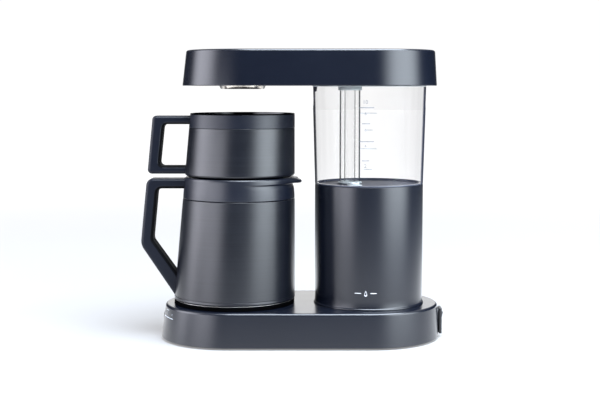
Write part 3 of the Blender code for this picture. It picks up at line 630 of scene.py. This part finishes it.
def build_riser():
    cover = opened(turned([(12.7, 192.4), (12.7, 307.7)], RISER, FINE))
    piece("riser_cover", cover, "brewer", "tube", ["riser_sleeve"])
    flange = [(9.9, 190.3), (15.0, 190.3, 0.4), (15.0, 191.6, 0.4), (12.5, 192.8, 0.8), (9.9, 192.8, 0.3)]
    piece("riser_flange", turned(flange, RISER, FINE, closed=True), "brewer", "silicone")
    pipe = opened(turned([(6.7, 175.5), (6.7, 318.0)], RISER, FINE))
    piece("riser_pipe", pipe, "brewer", "tube", ["riser_tube"])
    seal = [(12.7, 304.3, 0.3), (14.2, 304.3, 0.4), (14.6, 305.0, 0.4), (14.6, 310.0), (9.5, 310.0),
            (9.5, 315.8), (6.9, 315.8), (6.9, 308.0), (12.7, 308.0)]
    piece("riser_collar", turned(seal, RISER, FINE, closed=True), "brewer", "silicone", ["riser_seal"])


def build_outlet():
    """The outlet's fitting on the tank floor. Four crossing slots open its side in eight places."""
    outlet = [(2.8, 170), (4.0, 170), (4.0, 191.6), (5.6, 191.6, 0.3), (5.3, 193.6, 0.6), (2.8, 193.6, 0.3)]
    gasket = [(4.2, 190.1), (9.0, 190.1, 0.4), (9.0, 190.9, 0.4), (6.4, 191.5, 0.3), (4.2, 191.5)]
    weighted(piece("outlet_gasket", turned(gasket, OUTLET, FINE, closed=True), "brewer", "silicone"))
    strainer = piece("outlet_strainer", turned(outlet, OUTLET, FINE, closed=True), "brewer", "nylon",
                     ["tank_outlet"])
    for i in range(4):
        aim = Matrix.Translation((*OUTLET[:2], 192.7)) @ Matrix.Rotation(math.pi * i / 4, 4, "Z")
        low = [aim @ Vector((x, y, -0.6)) for x, y in ((-7, -0.5), (7, -0.5), (7, 0.5), (-7, 0.5))]
        height = 0.9 + 0.02 * i  # each a little higher, so that no two tops lie in one plane
        cut(strainer, skin([low, [point + Vector((0, 0, height)) for point in low]]))
    mark_edges(strainer)


def on_tank(x, z, side=FRONT_SIDE):
    """A point just off the tank's wall at a height, x to the right of its middle."""
    r = tank_radius(z) + SCALE_LIFT
    return Vector((TANK_X + x, side * math.sqrt(r * r - x * x), z))


def tick(bm, start, end, z, thick, side=FRONT_SIDE):
    steps = 6
    along = [start + (end - start) * i / steps for i in range(steps + 1)]
    heights = (z - thick / 2, z + thick / 2)
    strip(bm, *([bm.verts.new(on_tank(x, height, side)) for x in along] for height in heights))


def numeral(bm, text, x, z, height):
    """Digits laid on the tank's front."""
    curve = bpy.data.curves.new("digits", "FONT")
    curve.body = text
    curve.size = 1.0
    curve.resolution_u = 3
    holder = bpy.data.objects.new("digits", curve)
    bpy.context.scene.collection.objects.link(holder)
    bpy.context.view_layer.update()
    mesh = bpy.data.meshes.new_from_object(holder.evaluated_get(bpy.context.evaluated_depsgraph_get()))
    bpy.data.objects.remove(holder)
    scale = height / DIGIT_HEIGHT
    for vertex in mesh.vertices:
        vertex.co = on_tank(x + vertex.co.x * scale, z + vertex.co.y * scale)
    bm.from_mesh(mesh)
    bpy.data.meshes.remove(mesh)


def build_scale():
    """The printed scale on the tank's front, and a faint painted shadow of it on its rear wall."""
    front = bmesh.new()
    marks = ((284.5, -15.2, 2.0), (265.7, -12.2, -2.6), (244.8, -15.2, 2.0), (222.2, -12.2, -3.4))
    for z, start, end in marks:
        tick(front, start, end, z, 0.95)
    numeral(front, "10", -11.5, 289.0, 4.4)
    for text, z in (("8", 275.6), ("6", 256.8), ("4", 238.0)):
        numeral(front, text, -9.2, z, 3.4)
    numeral(front, "2", -9.6, 214.0, 4.4)
    piece("water_scale", front, "brewer", "print", smooth=False)
    # Painted shadow: faint marks on the rear wall that stand for the front scale's shadow, in the pale print
    # finish.
    rear = bmesh.new()
    marks = ((275.0, -7.6, 13.6), (253.4, -2.0, 8.4), (229.4, -8.2, 13.8), (203.0, -3.0, 8.0))
    for z, start, end in marks:
        tick(rear, start, end, z, 0.8, REAR_SIDE)
    piece("scale_shadow_rear", rear, "brewer", "ghost", smooth=False)


def build_mark():
    """A plain water drop between two dashes, printed low on the tower."""
    bm = bmesh.new()
    left = 6.7  # from the tower's middle to the mark's
    radius, lift = 66.08, 0.02
    drop_steps, dash_steps = 40, 5

    def at(x, z):
        y = -math.sqrt(radius * radius - (x - left) ** 2) - lift
        return bm.verts.new((TANK_X - left + x, y, MARK_Z + z))

    def drop(scale):
        points = []
        for i in range(drop_steps):
            a = 2 * math.pi * i / drop_steps
            width = 2.3 * math.sin(a) * math.sin(a / 2) ** 1.5
            points.append(at(width * scale, (3.4 * math.cos(a)) * scale - 0.2))
        return points

    strip(bm, drop(1.0), drop(0.74), True)
    for start, end in ((-13.0, -5.5), (5.5, 13.0)):
        along = [start + (end - start) * k / dash_steps for k in range(dash_steps + 1)]
        strip(bm, *([at(x, z) for x in along] for z in (-0.3, 0.3)))
    piece("drop_mark", bm, "brewer", "white_print", smooth=False)


# ------------------------------------------------------------------------------------------------------ head
def build_head():
    housing = piece("head_skin", shell(head_ring, HEAD_Z, HEAD_TOP, 1.3, 2.8), "brewer", "paint",
                    ["head_housing"])
    cut(housing, turned([(41.3, 345), (41.3, 360)], FILL))
    mark_edges(housing)
    weighted(housing)
    plate = piece("head_floor", skin([head_ring(310.3, 3.2), head_ring(313.3, 2.9)]), "brewer", "paint",
                  ["head_underside"])
    holes = turned([(22.6, 300), (22.6, 320)], SHOWER)
    turned([(9.9, 300), (9.9, 320)], RISER_HOLE, FINE, bm=holes)
    turned([(33, 300), (33, 320)], FILL, bm=holes)
    for y in (-62, 62):
        turned([(3.8, 300), (3.8, 312.2), (2.0, 312.2), (2.0, 320)], (5, y, 0), 24, bm=holes)
    cut(plate, holes)
    mark_edges(plate)


def build_lid():
    """The funnel under the opening over the tank, and the flush lid with its finger notch."""
    duct = [(34, 313.6), (36, 313.6), (36, 347.8), (44.5, 347.8), (44.5, 350.2), (34, 350.2, 0.6)]
    piece("fill_funnel", turned(duct, FILL, closed=True), "brewer", "black", ["fill_duct"])
    lid = [(31.4, 349.0), (31.4, 342.0, 0.5), (33.6, 342.0, 0.5), (33.6, 350.6), (41.0, 350.6),
           (41.0, 353.0, 0.6), (30, 353.0), (12, 353.0)]
    cover = piece("lid_skin", turned(lid, FILL), "tank_lid", "paint", ["tank_lid"])
    cut(cover, turned([(9.0, 349.6), (9.0, 360)], (FILL[0] + 43.5, 0, 0), FINE))
    mark_edges(cover)
    weighted(cover)


def build_shower():
    dish = [(4.0, 307.6), (12.0, 307.6, 2), (17.0, 306.9, 2), (20.0, 306.1, 2), (26.5, 306.1, 1.2),
            (28.0, 309.9, 0.3), (28.0, 310.2), (22.0, 310.2), (22.0, 317.0), (20.4, 317.0), (20.4, 309.4),
            (4.0, 309.0)]
    shower = piece("shower_plate", turned(dish, SHOWER), "brewer", "dish", ["shower_head"])
    jet = [(0.9, 300), (0.9, 312)]
    jets = turned(jet, SHOWER, 12)
    for i in range(8):
        a = math.pi / 4 * i
        turned(jet, (SHOWER[0] + 9 * math.cos(a), 9 * math.sin(a), 0), 12, bm=jets)
    cut(shower, jets)
    mark_edges(shower, 60)


# --------------------------------------------------------------------------------------------------- vessels
# Carafe and basket share one cone, which leans: its right side is upright
def cone_radius(z):
    return 76.85 - 0.0473 * z


def cone_middle(z):
    return -83.35 + 0.0473 * z


def vessel(corners, closed=False, steps=5, fixed=False):
    """A round piece from (offset from the cone, height, corner radius) points. With fixed, the first number
    is a radius instead."""
    rings = []
    for offset, z in rounded(corners, steps, closed):
        radius = offset if fixed else cone_radius(z) + offset
        rings.append(circle(radius, z, SIDES, (cone_middle(z), 0.0)))
    return skin(rings, closed)


def around_spout(a, half, power):
    """1 at the spout's middle, falling to 0 at half radians to each side and beyond."""
    turn = min(abs((a + math.pi) % (2 * math.pi) - math.pi) / half, 1.0)
    return (0.5 + 0.5 * math.cos(math.pi * turn)) ** power


def collar_ring(offset, z, reach=0.0, waist=0.0):
    """A ring of the collar. reach is how far the pouring lip stands out, and waist how far the wall under it
    draws in. The lip's tip hangs a little."""
    points = []
    for i in range(SPOUT_SIDES):
        a = 2 * math.pi * i / SPOUT_SIDES
        lip = reach * around_spout(a, 0.62, 1.5)
        r = cone_radius(z) + offset + lip - waist * around_spout(a, 1.5, 0.6)
        hang = 1.2 * around_spout(a, 0.40, 1.5) if reach > 5 else 0.0
        points.append(Vector((cone_middle(z) + r * math.cos(a), r * math.sin(a), z - hang)))
    return points


def build_carafe():
    # The foot ring is black plastic in the near-lightless shadow finish, so it also carries painted shade
    # under the carafe.
    foot = [(-8.0, 45.6), (-8.0, 43.8), (-0.6, 43.8, 0.2), (-0.5, 48.6, 0.3), (-6, 48.6)]
    piece("carafe_base_ring", vessel(foot), "carafe", "shadow", ["carafe_foot"])
    trim = [(-3.4, 48.9), (-0.9, 48.9, 0.1), (-0.7, 49.3, 0.2), (-3.4, 49.3)]
    piece("carafe_trim_ring", vessel(trim, closed=True), "carafe", "steel")
    line = [(0, 54.4, 0.15), (-0.35, 54.1, 0.1), (-0.35, 53.7, 0.1), (0, 53.4, 0.15)]  # turned into the steel
    body = [(-40, 50.9), (-1.2, 50.9, 2.4), (-1.2, 172.6), (0, 172.6, 0.5), *line, (0.3, 49.6, 1.8),
            (-4, 49.6), (-40, 49.6)]
    weighted(piece("carafe_skin", vessel(body, steps=6), "carafe", "vessel", ["carafe_body"]))

    below = [(-0.7, 173.1, 0, 0), (-0.15, 173.7, 0, 0), (-0.1, 175.2, 0, 0.1), (0, 180.0, 0, 0.4),
             (0, 185.5, 0, 0.9), (0, 188.2, 0, 1.6), (0, 190.2, 0.1, 2.6), (0, 191.2, 0.6, 2.7)]
    lip = [(0, 192.0, 4.0, 1.2), (0, 192.8, 7.6, 0.1), (0, 194.4, 8.6, 0), (0, 196.4, 8.0, 0),
           (-0.3, 197.8, 5.9, 0), (-1.0, 198.8, 3.8, 0), (-2.1, 199.2, 2.4, 0)]
    rings = [collar_ring(*row) for row in smooth_rows(below + lip, 3)]
    for radius, z in ((54.2, 196.2), (52.8, 195.2), (52.4, 194.0), (52.4, 178.5), (55.2, 173.1)):
        rings.append(collar_ring(radius - cone_radius(z), z))
    weighted(piece("carafe_top", skin(rings, closed=True), "carafe", "grey", ["carafe_collar"]))

    liner = [(20, 56.6), (cone_radius(57) - 8, 56.6, 4), (cone_radius(158) - 6.2, 158, 12), (50.8, 176, 6),
             (50.8, 194.3, 0.4), (52.0, 194.3, 0.4), (52.0, 176, 6), (cone_radius(158) - 5.0, 158.5, 12),
             (cone_radius(57) - 6.8, 55.4, 4), (20, 55.4)]
    piece("carafe_flask", vessel(liner, fixed=True), "carafe", "steel", ["carafe_liner"])

    corners = [(-120.0, 197.3), (-187.2, 197.3, 9), (-195.5, 115.7, 18), (-138.5, 30.0), (-125.0, 44.1),
               (-180.6, 122.4, 9), (-174.2, 184.9, 6), (-120.0, 184.9)]
    build_handle("carafe_grip", corners, (-146, 140), "carafe", ["carafe_handle"])


def build_handle(name, corners, opening, body, stands_for):
    """A flat handle, with what reaches into the vessels cut off. Its walls towards the opening are painted
    darker, as painted shade.
    """
    handle = piece(name, slab(rounded(corners, 8), HANDLE_DEPTH), body, "grip", stands_for)
    vessels = vessel([(0.0, 10), (0.0, 173.0), (-0.6, 175.5), (-0.6, 188.0), (0.0, 191.5), (0.2, 193.5),
                      (0.2, 199.5), (0.0, 201.5), (0.0, 258.0), (0.1, 261.0), (0.1, 295.0)])
    bevel(handle, 4.0, 6, 50)
    settle(handle)
    cut(handle, vessels)
    # Painted shade: the walls that face into the opening take the darker finish.
    handle.data.materials.append(FINISH["inside"])
    middle = place((opening[0], 0, opening[1]))
    for face in handle.data.polygons:
        inward = face.normal.dot(middle - face.center) > 0
        if inward and abs(face.normal.y) < MOST_SIDEWAYS:
            face.material_index = 1
    mark_edges(handle, 45)
    weighted(handle)


def build_basket():
    low = 200.9
    inner = 60.0 - cone_radius(low)
    sleeve = [(inner, low + 1.6), (inner, low), (0, low, 2.6), (0, 259.0, 0.35), (-1.8, 259.0),
              (-1.8, low + 1.6, 2)]
    weighted(piece("basket_skin", vessel(sleeve, closed=True, steps=6), "basket", "vessel", ["basket_sleeve"]))
    rim = [(-0.4, 259.3), (0.1, 259.3, 0.3), (0.1, 275.2, 0.2), (-1.1, 275.2), (-1.1, 259.3)]
    weighted(piece("basket_band", vessel(rim, closed=True), "basket", "band", ["basket_rim"]))
    # Painted shade: a matte near-black lip on the rim's top that stands for the shaded inside of the basket
    # seen over the rim.
    lip = [(-1.0, 275.3), (-0.1, 275.3, 0.1), (-0.1, 276.8, 0.6), (-1.0, 276.8, 0.2)]
    weighted(piece("basket_lip", vessel(lip, closed=True), "basket", "shadow"))
    lining = [(-1.3, 259.3), (-1.3, 276.0), (-1.1, 276.0), (-1.1, 276.7, 0.2), (-1.6, 276.7, 0.3),
              (-2.9, 261.0), (-2.9, 259.3)]
    weighted(piece("basket_lining", vessel(lining, closed=True), "basket", "lining"))
    # The funnel is black plastic in the near-lightless shadow finish, so the gap between the sleeve and the
    # collar shows painted shade.
    funnel = [(4.0, 184.5, 0.5), (6.5, 184.5, 0.5), (6.5, 187.6, 1), (47.0, 187.6, 2), (49.4, 190.0, 2),
              (49.4, 199.6, 0.5), (63.6, 199.6, 0.4), (63.6, 200.7, 0.3), (51.0, 202.6), (58.6, 264.5, 1),
              (61.2, 266.0, 0.6), (61.2, 268.0, 0.6), (57.6, 268.0, 0.8), (56.4, 264.0, 3), (47.0, 192.4, 3),
              (4.0, 190.4, 0.5)]
    weighted(piece("basket_cup", vessel(funnel, closed=True, fixed=True), "basket", "shadow",
                   ["basket_funnel"]))
    corners = [(-120.0, 273.8), (-179.2, 273.8, 5), (-186.4, 203.0, 5), (-120.0, 203.0), (-120.0, 212.6),
               (-171.7, 212.6, 5), (-166.1, 263.4, 5), (-120.0, 263.4)]
    build_handle("basket_grip", corners, (-146, 238), "basket", ["basket_handle"])


# ---------------------------------------------------------------------------------------------- inner pieces
NODE_FINISH = {
    "coated": ("base_plate", "heater_bracket"),
    "steel": ("base_screw_1", "base_screw_2", "base_screw_3", "base_screw_4", "head_screw_1", "head_screw_2",
              "rocker_pin", "hose_clamp_inlet", "hose_clamp_outlet", "heater_element"),
    "casting": ("heater",),
    "nylon": ("check_valve", "thermostat", "terminal_block", "shower_manifold"),
    "silicone": ("inlet_hose_upper", "inlet_hose_lower", "outlet_hose", "head_hose"),
    "board": ("main_board", "control_board"),
    "sleeve": ("heater_harness",),
    "black": ("tact_switch",),
}


def finish_nodes():
    """The CAD pieces that stay get their finish."""
    for finish, names in NODE_FINISH.items():
        for name in names:
            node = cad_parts[name]
            node.data.materials.clear()
            node.data.materials.append(FINISH[finish])


# ----------------------------------------------------------------------------------------------------- stage
# Light from around the object: (turn away from straight behind, as a part of half a turn; strength)
AROUND = ((0.055, 1.95), (0.11, 0.03), (0.45, 0.012), (1.0, 0.012))
OVERHEAD = 0.7
OVERHEAD_RISE = (0.35, 0.8)  # how steeply a direction points up where that light sets in and is full
STUDIO_SEEN = 1.02  # brightness behind the object, for the camera
FLOOR_RADIUS = 14.0
FLOOR_SEEN = (0.25, 0.90)  # the floor's glow near the object and far away, for the camera
FLOOR_SEEN_AT = (0.4, 2.4)  # the distances of near and far, in metres
FLOOR_MIRRORED = (0.90, -0.10)  # the same for what the object mirrors
FLOOR_MIRRORED_AT = (0.5, 1.1)
FADE = 0.42  # part of a softbox's width over which it fades, on each side
OVER_FADE = 0.15
LEFT_COLOUR, RIGHT_COLOUR, OVER_COLOUR = (0.96, 0.97, 1.08), (0.90, 0.99, 1.07), (0.88, 0.98, 1.10)
LENS, SENSOR = 73.36, 36.0
CAMERA_AT, CAMERA_DIP = (0, -1500, 310.8), 5.37  # the dip below level is in degrees


def lamp(name, at, aim, width, height, power, colour, lean=0.0, soft=FADE):
    """A softbox that is bright in the middle and fades towards its sides. lean tips it, in degrees."""
    data = bpy.data.lights.new(name, "AREA")
    data.shape = "RECTANGLE"
    data.size, data.size_y = width, height
    data.energy = power
    data.color = colour
    data.use_nodes = True
    tree = data.node_tree
    place_on_lamp = add_node(tree, "ShaderNodeNewGeometry").outputs["Parametric"]
    across = add_node(tree, "ShaderNodeSeparateXYZ", {0: place_on_lamp}).outputs["X"]
    fade = add_node(tree, "ShaderNodeValToRGB", {"Fac": across})
    fade.color_ramp.interpolation = "EASE"
    fade.color_ramp.elements[1].position = soft
    fade.color_ramp.elements.new(1 - soft).color = (1, 1, 1, 1)
    fade.color_ramp.elements.new(1.0).color = (0, 0, 0, 1)
    tree.links.new(fade.outputs["Color"], tree.nodes["Emission"].inputs["Strength"])
    made = bpy.data.objects.new(name, data)
    made.location = at
    facing = (Vector(aim) - Vector(at)).to_track_quat("-Z", "Y")
    made.rotation_euler = (facing @ Quaternion((0, 0, 1), math.radians(lean))).to_euler()
    made.visible_camera = False
    bpy.context.scene.collection.objects.link(made)


def build_floor():
    bm = bmesh.new()
    bmesh.ops.create_circle(bm, cap_ends=True, segments=128, radius=FLOOR_RADIUS)
    mesh = bpy.data.meshes.new("floor")
    bm.to_mesh(mesh)
    bm.free()
    floor = bpy.data.objects.new("floor", mesh)
    bpy.context.scene.collection.objects.link(floor)
    shader = Shader("white_table", Specular_IOR_Level=0.1, Roughness=0.9)
    cloud = shader.remap(shader.noise(3.0), 0, 1)
    shader.colour(shader.blend(cloud, (0.22, 0.22, 0.222), (0.226, 0.226, 0.228)))
    away = shader.node("ShaderNodeVectorMath", {0: shader.place}, operation="LENGTH").outputs["Value"]
    seen = shader.remap(away, *FLOOR_SEEN, *FLOOR_SEEN_AT)
    mirrored = shader.remap(away, *FLOOR_MIRRORED, *FLOOR_MIRRORED_AT)
    path = shader.node("ShaderNodeLightPath").outputs["Is Camera Ray"]
    glow = shader.node("ShaderNodeMix", {"Factor": path, 2: mirrored, 3: seen}).outputs[0]
    shader.bsdf.inputs["Emission Color"].default_value = (1, 1, 1, 1)
    shader.tree.links.new(glow, shader.bsdf.inputs["Emission Strength"])
    mesh.materials.append(shader.material)


def build_world():
    """A white studio for the camera. What lights the object is bright overhead and straight behind, and dark
    elsewhere, so that the softboxes draw its round sides."""
    world = bpy.data.worlds.new("studio")
    bpy.context.scene.world = world
    world.use_nodes = True
    tree = world.node_tree

    direction = add_node(tree, "ShaderNodeTexCoord").outputs["Generated"]
    split = add_node(tree, "ShaderNodeSeparateXYZ", {0: direction}).outputs
    side = add_node(tree, "ShaderNodeMath", {0: split["X"]}, operation="ABSOLUTE").outputs[0]
    turn = add_node(tree, "ShaderNodeMath", {0: side, 1: split["Y"]}, operation="ARCTAN2").outputs[0]
    part = add_node(tree, "ShaderNodeMath", {0: turn, 1: math.pi}, operation="DIVIDE").outputs[0]
    around = add_node(tree, "ShaderNodeValToRGB", {0: part})
    stops = around.color_ramp.elements
    while len(stops) < len(AROUND):
        stops.new(0.5)
    for stop, (at, strength) in zip(stops, AROUND):
        stop.position = at
        stop.color = (strength, strength, strength, 1)
    low, high = OVERHEAD_RISE
    rise = {"Value": split["Z"], "From Min": low, "From Max": high, "To Min": 0.0, "To Max": OVERHEAD}
    overhead = add_node(tree, "ShaderNodeMapRange", rise).outputs["Result"]
    light = add_node(tree, "ShaderNodeMath", {0: around.outputs[0], 1: overhead}, operation="ADD").outputs[0]
    seen = add_node(tree, "ShaderNodeLightPath").outputs["Is Camera Ray"]
    pick = add_node(tree, "ShaderNodeMix", {0: seen, 2: light, 3: STUDIO_SEEN})
    tree.links.new(pick.outputs[0], tree.nodes["Background"].inputs["Strength"])
    tree.nodes["Background"].inputs["Color"].default_value = (1, 1, 1, 1)


def build_stage():
    build_world()
    build_floor()
    lamp("softbox_left", (-1.30, -0.10, 0.62), (0, 0, 0.3), 1.60, 1.25, 45, LEFT_COLOUR, 15)
    lamp("reflector_left", (-0.97, -0.87, 0.18), (0, 0, 0.18), 1.30, 0.48, 12, LEFT_COLOUR)
    lamp("softbox_right", (1.12, -0.74, 0.52), (0, 0, 0.3), 2.10, 1.25, 80, RIGHT_COLOUR)
    lamp("softbox_over", (0.35, -0.42, 1.45), (0.05, 0, 0.2), 1.70, 1.00, 110, OVER_COLOUR, soft=OVER_FADE)
    data = bpy.data.cameras.new("camera")
    data.lens = LENS
    data.sensor_width = SENSOR
    data.clip_end = 60.0
    camera = bpy.data.objects.new("camera", data)
    camera.location = place(CAMERA_AT)
    camera.rotation_euler = (math.radians(90 - CAMERA_DIP), 0, 0)
    bpy.context.scene.collection.objects.link(camera)
    bpy.context.scene.camera = camera
    bpy.context.scene.view_settings.view_transform = "Standard"


def main():
    build_stage()
    build_base()
    build_prints()
    build_switch()
    build_cord_outlet()
    build_shroud()
    build_tank()
    build_riser()
    build_outlet()
    build_scale()
    build_mark()
    build_head()
    build_lid()
    build_shower()
    build_carafe()
    build_basket()
    finish_nodes()


main()
